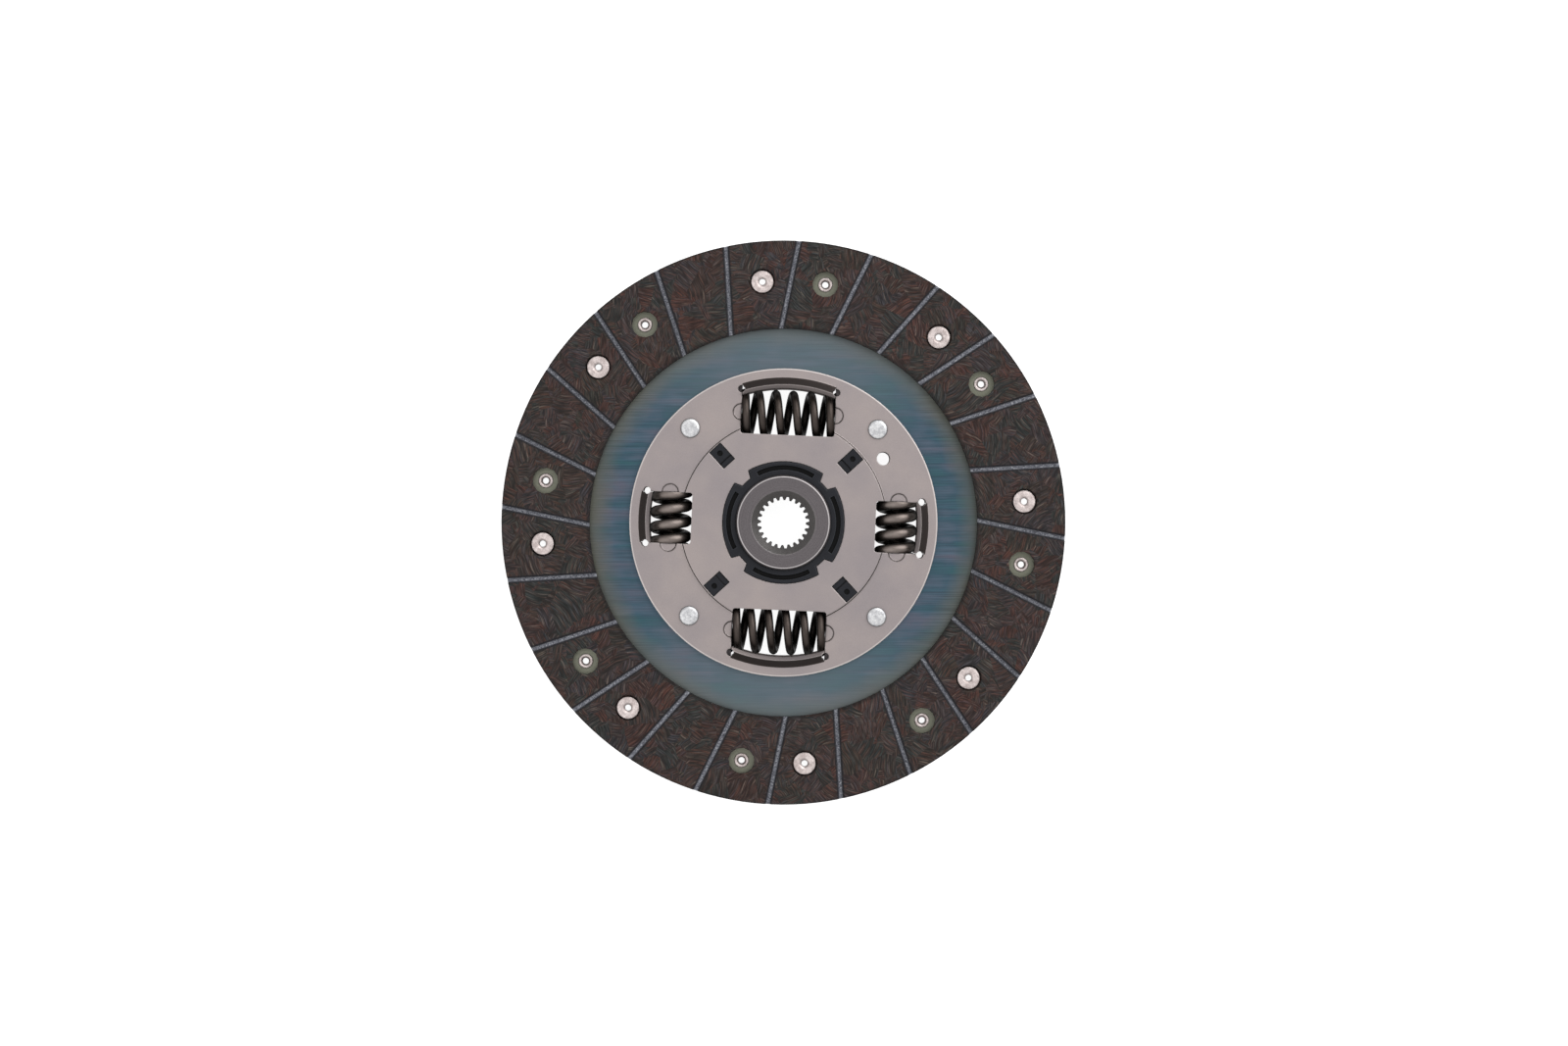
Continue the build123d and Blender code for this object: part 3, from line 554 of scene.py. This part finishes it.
def plate_finish():
    """Pressed steel, pinkish grey and satin, with painted highlights on its edges and rim and painted
    shade on outward slopes and round the half-moons.
    """
    material, tree, shader, place, facing = start_finish("side_plate_steel", 0.46, 0.85)
    marks = use_group(tree, mottle, Place=place, Blotch_Size=26 * MM, Grain_Size=0.35 * MM)
    lie = {"Place": place, "Turn": pi / 2 - disc_turn}
    lines = use_group(tree, rolling_lines, **lie, Line_Length=9 * MM, Line_Width=0.5 * MM)
    form = use_group(tree, slopes, Place=place, Facing=facing)
    edges = use_group(tree, rounded_edges, Width=0.6 * MM)
    blotch = spread(tree, marks["Blotch"], 0.35, 0.65)
    sheet = mix_colour(tree, blotch, colour("9f9593"), colour("948c8d"))
    grained = shade(tree, sheet, vary(tree, marks["Grain"], 0.95, 1.04))
    # Painted shade on slopes that lean away from the axis
    outward_slope_shade = maths(tree, "MULTIPLY", spread(tree, form["Level"], 0.75, 0.9, 1.0, 0.0), form["Outward"])
    slope_shaded = mix_colour(tree, outward_slope_shade, grained, colour("4f4846"))
    # Painted highlights on the rounded edges and along the plate's outer rim
    painted_highlight = maths(tree, "MULTIPLY", edges["Edge"], spread(tree, form["Level"], 0.9, 1.0, 0.2, 0.75))
    rim = spread(tree, form["Radius"], side_plate_radius - 0.6 * MM, side_plate_radius - 0.3 * MM)
    lit = maths(tree, "MAXIMUM", painted_highlight, maths(tree, "MULTIPLY", rim, 0.8))
    edged = mix_colour(tree, lit, slope_shaded, colour("d8d0cd"))
    # Painted shade lines round the half-moons
    shade_outlined = mix_colour(tree, half_moon_shade_lines(tree, place), edged, colour("4f4846"))
    link(tree, shade_outlined, shader.inputs["Base Color"])
    link(tree, vary(tree, marks["Blotch"], 0.42, 0.5), shader.inputs["Roughness"])
    height = maths(tree, "MULTIPLY_ADD", lines["Lines"], 0.5, marks["Grain"])
    bump(tree, shader, height, 0.2, 0.03 * MM, edges["Normal"])
    return material


def headed_finish(name, tone, dark, roughness, grain_size, blotch_size):
    """Bright steel that a tool has spread: grained and blotchy, with painted shade where it slopes away.
    """
    material, tree, shader, place, facing = start_finish(name, roughness, 0.75)
    marks = use_group(tree, mottle, Place=place, Blotch_Size=blotch_size, Grain_Size=grain_size)
    form = use_group(tree, slopes, Place=place, Facing=facing)
    blotch = mix_colour(tree, spread(tree, marks["Blotch"], 0.4, 0.62), colour(tone), colour(dark))
    grain = spread(tree, marks["Grain"], 0.32, 0.68, 0.8, 1.12)
    # Painted shade: darker where the surface slopes away from level
    slope = spread(tree, form["Level"], 0.3, 0.9, 0.35, 1.0)
    link(tree, shade(tree, shade(tree, blotch, grain), slope), shader.inputs["Base Color"])
    dullness = vary(tree, marks["Blotch"], roughness - 0.05, roughness + 0.08)
    link(tree, dullness, shader.inputs["Roughness"])
    bump(tree, shader, maths(tree, "ADD", marks["Grain"], marks["Blotch"]), 0.5, 0.06 * MM)
    return material


def washer_finish():
    """Rolled washer steel, dull grey with fine lines."""
    material, tree, shader, place, _ = start_finish("washer_steel", 0.4, 0.85)
    marks = use_group(tree, mottle, Place=place, Blotch_Size=9 * MM, Grain_Size=0.35 * MM)
    lie = {"Place": place, "Turn": 0.4}
    lines = use_group(tree, rolling_lines, **lie, Line_Length=14 * MM, Line_Width=0.35 * MM)
    blotch = spread(tree, marks["Blotch"], 0.35, 0.65)
    tone = mix_colour(tree, blotch, colour("8d8986"), colour("716d6b"))
    link(tree, shade(tree, tone, vary(tree, lines["Lines"], 0.85, 1.1)), shader.inputs["Base Color"])
    link(tree, vary(tree, marks["Grain"], 0.33, 0.46), shader.inputs["Roughness"])
    edges = use_group(tree, rounded_edges, Width=0.15 * MM)
    bump(tree, shader, lines["Lines"], 0.25, 0.03 * MM, edges["Normal"])
    return material


def hub_finish():
    """Turned steel, mauve-grey, with fine rings on its faces, painted highlights on its edges and turned
    rim, and a greyer lead-in.
    """
    material, tree, shader, place, _ = start_finish("hub_steel", 0.42, 0.8)
    rings = use_group(tree, turning_marks, Place=place, Ring_Width=0.25 * MM)
    marks = use_group(tree, mottle, Place=place, Blotch_Size=5 * MM, Grain_Size=0.35 * MM)
    edges = use_group(tree, rounded_edges, Width=0.6 * MM)
    turned = spread(tree, rings["Rings"], 0.35, 0.65)
    face = mix_colour(tree, turned, colour("575254"), colour("6b6668"))
    lead_in = spread(tree, rings["Radius"], hub_mouth - 0.1 * MM, hub_mouth, 1.0, 0.0)
    toned = mix_colour(tree, lead_in, face, colour("767372"))
    specked = shade(tree, toned, vary(tree, marks["Grain"], 0.8, 1.18))
    # Painted highlights: a bright ring at the turned rim and on the rounded edges
    off_rim = maths(tree, "ABSOLUTE", maths(tree, "SUBTRACT", rings["Radius"], hub_rim))
    rim = spread(tree, off_rim, 0.12 * MM, 0.28 * MM, 0.9, 0.0)
    painted_highlight = maths(tree, "MAXIMUM", maths(tree, "MULTIPLY", edges["Edge"], 0.5), rim)
    link(tree, mix_colour(tree, painted_highlight, specked, colour("c4bfbf")), shader.inputs["Base Color"])
    link(tree, vary(tree, marks["Blotch"], 0.38, 0.5), shader.inputs["Roughness"])
    height = maths(tree, "ADD", rings["Rings"], marks["Grain"])
    bump(tree, shader, height, 0.3, 0.03 * MM, edges["Normal"])
    return material


def nylon_finish():
    """Moulded black nylon, faintly grained, with a painted highlight on the bushes' edges and painted
    shade on the pegs' edges and step.

    What lies at the level of the front bush's recesses is nearly black, a painted shade.
    """
    material, tree, shader, place, facing = start_finish("black_nylon", 0.42)
    marks = use_group(tree, mottle, Place=place, Blotch_Size=5 * MM, Grain_Size=0.25 * MM)
    edges = use_group(tree, rounded_edges, Width=0.6 * MM)
    shader.inputs["Specular IOR Level"].default_value = 0.12
    level = axes(tree, place)[2]
    # Painted shade: nearly black at the level of the recesses
    recess_low = 1.5 * MM
    recess_high = 2.8 * MM
    above = spread(tree, level, recess_low - 0.5 * MM, recess_low)
    below = spread(tree, level, recess_high, recess_high + 0.2 * MM, 1.0, 0.0)
    hollow_shade = maths(tree, "MULTIPLY", above, below)
    tone = mix_colour(tree, marks["Blotch"], colour("232428"), colour("2f3035"))
    form = use_group(tree, slopes, Place=place, Facing=facing)
    # Painted highlight on the bushes' rounded edges, painted shade on the pegs' edges
    pegs = spread(tree, form["Radius"], 26 * MM, 27 * MM)
    edge_light_and_shade = mix_colour(tree, pegs, colour("5a5d63"), colour("08080a"))
    lit_and_shaded = mix_colour(tree, maths(tree, "MULTIPLY", edges["Edge"], 0.6), tone, edge_light_and_shade)
    # Painted shade: a dark line at the pegs' step
    off_step = maths(tree, "ABSOLUTE", maths(tree, "SUBTRACT", form["Radius"], peg_step))
    line = spread(tree, off_step, 0.15 * MM, 0.4 * MM, 0.75, 0.0)
    step_shaded = mix_colour(tree, line, lit_and_shaded, colour("08080a"))
    link(tree, mix_colour(tree, hollow_shade, step_shaded, colour("020203")), shader.inputs["Base Color"])
    link(tree, vary(tree, marks["Blotch"], 0.36, 0.5), shader.inputs["Roughness"])
    bump(tree, shader, marks["Grain"], 0.3, 0.04 * MM, edges["Normal"])
    return material


def spring_finish(name, hollow_shade, crown):
    """Oiled spring wire, satin, with painted shade inside the coil and a painted highlight on the crowns
    that face up and down.
    """
    material, tree, shader, place, facing = start_finish(name, 0.38, 0.85)
    marks = use_group(tree, mottle, Place=place, Blotch_Size=4 * MM, Grain_Size=0.5 * MM)
    # Painted shade in the coil's hollows and a painted highlight on its crowns, by how far a point faces
    # up or down away from the coil's middle
    rise = maths(tree, "SUBTRACT", axes(tree, place)[2], spring_level)
    lift = maths(tree, "MULTIPLY", rise, axes(tree, facing)[2])
    lit_and_shaded = mix_colour(tree, spread(tree, lift, 1.0 * MM, 6.0 * MM), colour(hollow_shade), colour(crown))
    blotch = spread(tree, marks["Blotch"], 0.35, 0.65, 0.85, 1.1)
    link(tree, shade(tree, lit_and_shaded, blotch), shader.inputs["Base Color"])
    link(tree, vary(tree, marks["Grain"], 0.33, 0.46), shader.inputs["Roughness"])
    bump(tree, shader, marks["Grain"], 0.15, 0.03 * MM)
    return material


finishes = {
    "friction_lining": friction_finish(),
    "blued_sheet": blued_finish(),
    "rivet_steel": headed_finish("rivet_steel", "ddd1ce", "bcafac", 0.36, 0.35 * MM, 2.0 * MM),
    "side_plate_steel": plate_finish(),
    "pin_steel": headed_finish("pin_steel", "dededf", "bcbcbf", 0.34, 0.5 * MM, 1.6 * MM),
    "black_nylon": nylon_finish(),
    "washer_steel": washer_finish(),
    "spring_steel": spring_finish("spring_steel", "1c1715", "48403c"),
    "hub_steel": hub_finish(),
}
# The side springs' copy has a brighter painted highlight on its crowns
side_spring_steel = spring_finish("side_spring_steel", "231d1a", "807671")
for node in nodes.values():
    node_slot = node.material_slots[0]
    node_slot.material = finishes[node_slot.name.split(".")[0]]


# New pieces. Their lines are (radius, level) in millimetres.
# Points closer together than point_gap are one point. An edge that bends more than sharp_angle is sharp.
point_gap = 0.001 * MM
sharp_angle = radians(35)


def spun(line, steps, closed):
    """Turns a line about the Z axis into a shape. An open line starts and ends on the axis."""
    shape = bmesh.new()
    points = [shape.verts.new((radius * MM, 0, level * MM)) for radius, level in line]
    for first, second in zip(points, points[1:]):
        shape.edges.new((first, second))
    if closed:
        shape.edges.new((points[-1], points[0]))
    bmesh.ops.spin(
        shape,
        geom=shape.verts[:] + shape.edges[:],
        cent=(0, 0, 0),
        axis=(0, 0, 1),
        dvec=(0, 0, 0),
        angle=2 * pi,
        steps=steps,
        use_merge=True,
    )
    bmesh.ops.remove_doubles(shape, verts=shape.verts, dist=point_gap)
    bmesh.ops.recalc_face_normals(shape, faces=shape.faces)
    return shape


def set_round(shape, radius, first_angle, count):
    """Moves a shape out from the Z axis and repeats it round the circle."""
    bmesh.ops.translate(shape, verts=shape.verts, vec=(radius, 0, 0))
    turn = Matrix.Rotation(first_angle, 3, "Z")
    bmesh.ops.rotate(shape, verts=shape.verts, cent=(0, 0, 0), matrix=turn)
    bmesh.ops.spin(
        shape,
        geom=shape.verts[:] + shape.edges[:] + shape.faces[:],
        cent=(0, 0, 0),
        axis=(0, 0, 1),
        dvec=(0, 0, 0),
        angle=2 * pi * (count - 1) / count,
        steps=count - 1,
        use_duplicate=True,
    )


def add_piece(name, shape, slot_name, replaced, finish=None):
    """Makes a shape a piece that rides on the plate in place of a CAD node, with only sharp edges sharp.

    It has its slot's own finish where no other is given.
    """
    for face in shape.faces:
        face.smooth = True
    for edge in shape.edges:
        edge.smooth = edge.calc_face_angle(0.0) < sharp_angle
    mesh = bpy.data.meshes.new(name)
    shape.to_mesh(mesh)
    shape.free()
    mesh.materials.append(finish or finishes[slot_name])
    piece = bpy.data.objects.new(name, mesh)
    bpy.context.scene.collection.objects.link(piece)
    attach(piece, "plate")
    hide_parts(replaced)
    return piece


# A facing rivet, from its bore round the head, down the shank and round the rolled tail
rivet_line = [
    (1.2, 2.35),
    (1.45, 2.62),
    (1.85, 2.8),
    (2.05, 2.92),
    (2.3, 2.95),
    (3.95, 2.93),
    (4.18, 2.86),
    (4.3, 2.68),
    (4.3, 2.25),
    (4.18, 2.05),
    (2.3, 2.05),
    (2.3, 0.06),
    (2.62, 0.05),
    (2.78, -0.08),
    (2.8, -0.3),
    (2.68, -0.53),
    (2.42, -0.64),
    (2.05, -0.65),
    (1.85, -0.58),
    (1.62, -0.36),
    (1.3, -0.12),
    (1.2, 0.1),
]
rivet_steps = 40
rivet_count = 8
rivet_circle = 92.2 * MM
front_rivet_angle = radians(7.5)
rear_rivet_angle = radians(37.5)

front_rivets = spun(rivet_line, rivet_steps, closed=True)
set_round(front_rivets, rivet_circle, front_rivet_angle, rivet_count)
add_piece("front_rivet_row", front_rivets, "rivet_steel", "front_facing_rivets")

rear_rivets = spun(rivet_line, rivet_steps, closed=True)
turned_over = Matrix.Rotation(pi, 3, "X")
bmesh.ops.rotate(rear_rivets, verts=rear_rivets.verts, cent=(0, 0, 0), matrix=turned_over)
set_round(rear_rivets, rivet_circle, rear_rivet_angle, rivet_count)
add_piece("rear_rivet_row", rear_rivets, "rivet_steel", "rear_facing_rivets")

# A stop pin, from the front head's middle over its shoulders to the rear head's middle
front_head = pins_high.z / MM
rear_head = pins_low.z / MM
front_face = plate_face / MM
rear_face = rear_plate_face / MM
front_shoulder = -0.35
rear_shoulder = rear_face + 2.0
pin_line = [
    (0.0, front_head),
    (1.6, front_head),
    (2.7, front_head - 0.06),
    (3.3, front_head - 0.2),
    (3.62, front_head - 0.45),
    (3.74, front_head - 0.75),
    (3.72, front_face),
    (3.0, front_face),
    (3.0, front_shoulder),
    (4.0, front_shoulder),
    (4.0, rear_shoulder),
    (3.0, rear_shoulder),
    (3.0, rear_face),
    (3.72, rear_face),
    (3.74, rear_head + 0.75),
    (3.62, rear_head + 0.45),
    (3.3, rear_head + 0.2),
    (2.7, rear_head + 0.06),
    (1.6, rear_head),
    (0.0, rear_head),
]
pin_steps = 48
pin_count = 4
pin_circle = 50.6 * MM
first_pin_angle = radians(47.1)

pins = spun(pin_line, pin_steps, closed=False)
set_round(pins, pin_circle, first_pin_angle, pin_count)
add_piece("stop_pin_row", pins, "pin_steel", "stop_pins")


# Springs: right-handed, with open turns between closed ends that are ground flat
def coil(outer, wire, pitch, open_turns, phase, length):
    """A coil along Y about the origin, spun a step at a time and then cut to its length.

    Phase is where the wire's middle lies, in turns from the top. The pitch closes over closing_turns,
    and the wire first goes on for spare_turns past where it is cut.
    """
    steps = 28
    wire_sides = 18
    closing_turns = 0.4
    spare_turns = 0.6
    closed_pitch = wire + 0.1 * MM
    closed_turns = (length / 2 - pitch * open_turns / 2) / closed_pitch + spare_turns
    half_steps = ceil((open_turns / 2 + closed_turns) * steps)

    def slope(step):
        """How far one step rises: the open pitch, then less and less, then the closed pitch."""
        beyond = abs(step + 0.5) / steps - open_turns / 2
        share = min(max(beyond / closing_turns, 0), 1)
        return (pitch + (closed_pitch - pitch) * share) / steps

    start = -sum(slope(step) for step in range(half_steps))
    shape = bmesh.new()
    section = bmesh.ops.create_circle(
        shape,
        cap_ends=False,
        segments=wire_sides,
        radius=wire / 2,
        matrix=Matrix.Translation((0, start, 0))
        @ Matrix.Rotation(2 * pi * (phase - half_steps / steps), 4, "Y")
        @ Matrix.Translation((0, 0, (outer - wire) / 2))
        @ Matrix.Rotation(pi / 2, 4, "Y"),
    )
    last = section["verts"] + shape.edges[:]
    for step in range(-half_steps, half_steps):
        last = bmesh.ops.spin(
            shape,
            geom=last,
            cent=(0, 0, 0),
            axis=(0, 1, 0),
            dvec=(0, slope(step), 0),
            angle=2 * pi / steps,
            steps=1,
        )["geom_last"]
    for side in (-1, 1):
        bmesh.ops.bisect_plane(
            shape,
            geom=shape.verts[:] + shape.edges[:] + shape.faces[:],
            plane_co=(0, side * length / 2, 0),
            plane_no=(0, side, 0),
            clear_outer=True,
        )
        cut = length / 2 - point_gap
        rim = [edge for edge in shape.edges if edge.is_boundary and edge.verts[0].co.y * side > cut]
        bmesh.ops.triangle_fill(shape, edges=rim, use_beauty=True)
    bmesh.ops.remove_doubles(shape, verts=shape.verts, dist=point_gap)
    bmesh.ops.recalc_face_normals(shape, faces=shape.faces)
    return shape


def add_spring(name, shape, angle, finish):
    """Puts a coil in its window at an angle.
    """
    low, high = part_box(name)
    middle = (low + high) / 2
    turn = Matrix.Rotation(angle, 3, "Z")
    bmesh.ops.rotate(shape, verts=shape.verts, cent=(0, 0, 0), matrix=turn)
    bmesh.ops.translate(shape, verts=shape.verts, vec=middle)
    piece = add_piece(name + "_coil", shape, "spring_steel", name, finish)
    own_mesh(piece)


# A coil's outer and wire diameter, its pitch and the number of its open turns
main_coil = (19.4 * MM, 3.1 * MM, 6.7 * MM, 4.2)
side_coil = (16.5 * MM, 4.2 * MM, 5.9 * MM, 2.4)

# Where the middle of a coil's wire lies, and its length
main_phase = 0.5
side_phase = 0.42
main_length = 35.7 * MM
side_length = 19.5 * MM
main_finish = finishes["spring_steel"]

for name, angle in (("main_spring_top", pi / 2), ("main_spring_bottom", -pi / 2)):
    shape = coil(*main_coil, main_phase, main_length)
    add_spring(name, shape, angle, main_finish)
for name, angle, phase in (("side_spring_right", 0.0, side_phase), ("side_spring_left", pi, -side_phase)):
    shape = coil(*side_coil, phase, side_length)
    add_spring(name, shape, angle, side_spring_steel)


# Light, floor and camera
def add_area_light(name, place, size, watts):
    """A square softbox that shines on the disc."""
    data = bpy.data.lights.new(name, "AREA")
    data.size = size
    data.energy = watts
    lamp = bpy.data.objects.new(name, data)
    lamp.location = place
    lamp.rotation_euler = (-Vector(place)).to_track_quat("-Z", "Y").to_euler()
    bpy.context.scene.collection.objects.link(lamp)


def ways_seen(tree):
    """Two values: 1 for what is seen straight or through glass, and 1 for what is seen mirrored."""
    path = tree.nodes.new("ShaderNodeLightPath").outputs
    straight = maths(tree, "MAXIMUM", path["Is Camera Ray"], path["Is Transmission Ray"])
    return straight, path["Is Glossy Ray"]


# The light from all sides, the floor's glow and what a polished part mirrors near the floor: 1 is white
soft_light = 0.45
floor_glow = 0.9
mirrored_low = 0.35

# How far the floor lies under the hub, and how far it reaches to each side
floor_gap = 0.02 * MM
floor_reach = 3.0


def make_world():
    """White for the camera. Polished parts see a studio that darkens towards the floor."""
    world = bpy.data.worlds.new("studio")
    world.use_nodes = True
    tree = world.node_tree
    background = tree.nodes["Background"]
    background.inputs["Color"].default_value = (1.0, 1.0, 1.0, 1.0)
    height = axes(tree, tree.nodes.new("ShaderNodeTexCoord").outputs["Generated"])[2]
    straight, mirrored = ways_seen(tree)
    studio = spread(tree, height, 0.1, 0.85, mirrored_low - soft_light, 1.0 - soft_light)
    seen = maths(tree, "MULTIPLY_ADD", straight, 1.0 - soft_light, soft_light)
    link(tree, maths(tree, "MULTIPLY_ADD", mirrored, studio, seen), background.inputs["Strength"])
    bpy.context.scene.world = world


def make_floor():
    """A pale floor under the hub. Its own glow for the camera makes it white and leaves it the shadow.

    It has an upper side alone, so that the disc can be seen from below.
    """
    shape = bmesh.new()
    bmesh.ops.create_grid(shape, x_segments=1, y_segments=1, size=floor_reach)
    bmesh.ops.translate(shape, verts=shape.verts, vec=(0, 0, floor_level - floor_gap))
    mesh = bpy.data.meshes.new("floor")
    shape.to_mesh(mesh)
    shape.free()
    floor = bpy.data.objects.new("floor", mesh)
    bpy.context.scene.collection.objects.link(floor)
    material = bpy.data.materials.new("floor_white")
    material.use_nodes = True
    tree = material.node_tree
    shader = tree.nodes["Principled BSDF"]
    shader.inputs["Base Color"].default_value = (0.8, 0.8, 0.8, 1.0)
    shader.inputs["Roughness"].default_value = 0.9
    shader.inputs["Specular IOR Level"].default_value = 0.0
    shader.inputs["Emission Color"].default_value = (1.0, 1.0, 1.0, 1.0)
    straight, mirrored = ways_seen(tree)
    mirrored_glow = maths(tree, "MULTIPLY", mirrored, mirrored_low)
    glow = maths(tree, "MULTIPLY_ADD", straight, floor_glow, mirrored_glow)
    link(tree, glow, shader.inputs["Emission Strength"])
    one_sided = tree.nodes.new("ShaderNodeMixShader")
    from_below = tree.nodes.new("ShaderNodeNewGeometry").outputs["Backfacing"]
    nothing = tree.nodes.new("ShaderNodeBsdfTransparent").outputs[0]
    for source, socket in zip((from_below, shader.outputs[0], nothing), one_sided.inputs):
        link(tree, source, socket)
    link(tree, one_sided.outputs[0], tree.nodes["Material Output"].inputs["Surface"])
    mesh.materials.append(material)


# The camera looks straight down from over the hub. The disc lies turned by a small angle in its view,
# and its centre is a little off the picture's. The scale is the size of a picture point on the disc.
picture_width = 1600
picture_height = 1067
disc_column = 799.4
disc_row = 533.05
picture_scale = 0.3735 * MM
camera_height = 1.5


def make_camera():
    data = bpy.data.cameras.new("camera")
    data.sensor_width = 36.0
    data.lens = data.sensor_width * camera_height / (picture_width * picture_scale)
    data.clip_start = 0.1
    camera = bpy.data.objects.new("camera", data)
    turn = Matrix.Rotation(disc_turn, 4, "Z")
    right = (picture_width / 2 - disc_column) * picture_scale
    up = (disc_row - picture_height / 2) * picture_scale
    camera.matrix_world = turn @ Matrix.Translation((right, up, facing_front + camera_height))
    bpy.context.scene.collection.objects.link(camera)
    bpy.context.scene.camera = camera


add_area_light("key_softbox", place=(0.85, 0.95, 1.1), size=1.7, watts=17.5)
add_area_light("fill_softbox", place=(-0.9, -0.4, 1.3), size=1.7, watts=4.0)
make_world()
make_floor()
make_camera()
bpy.context.scene.view_settings.view_transform = "Standard"
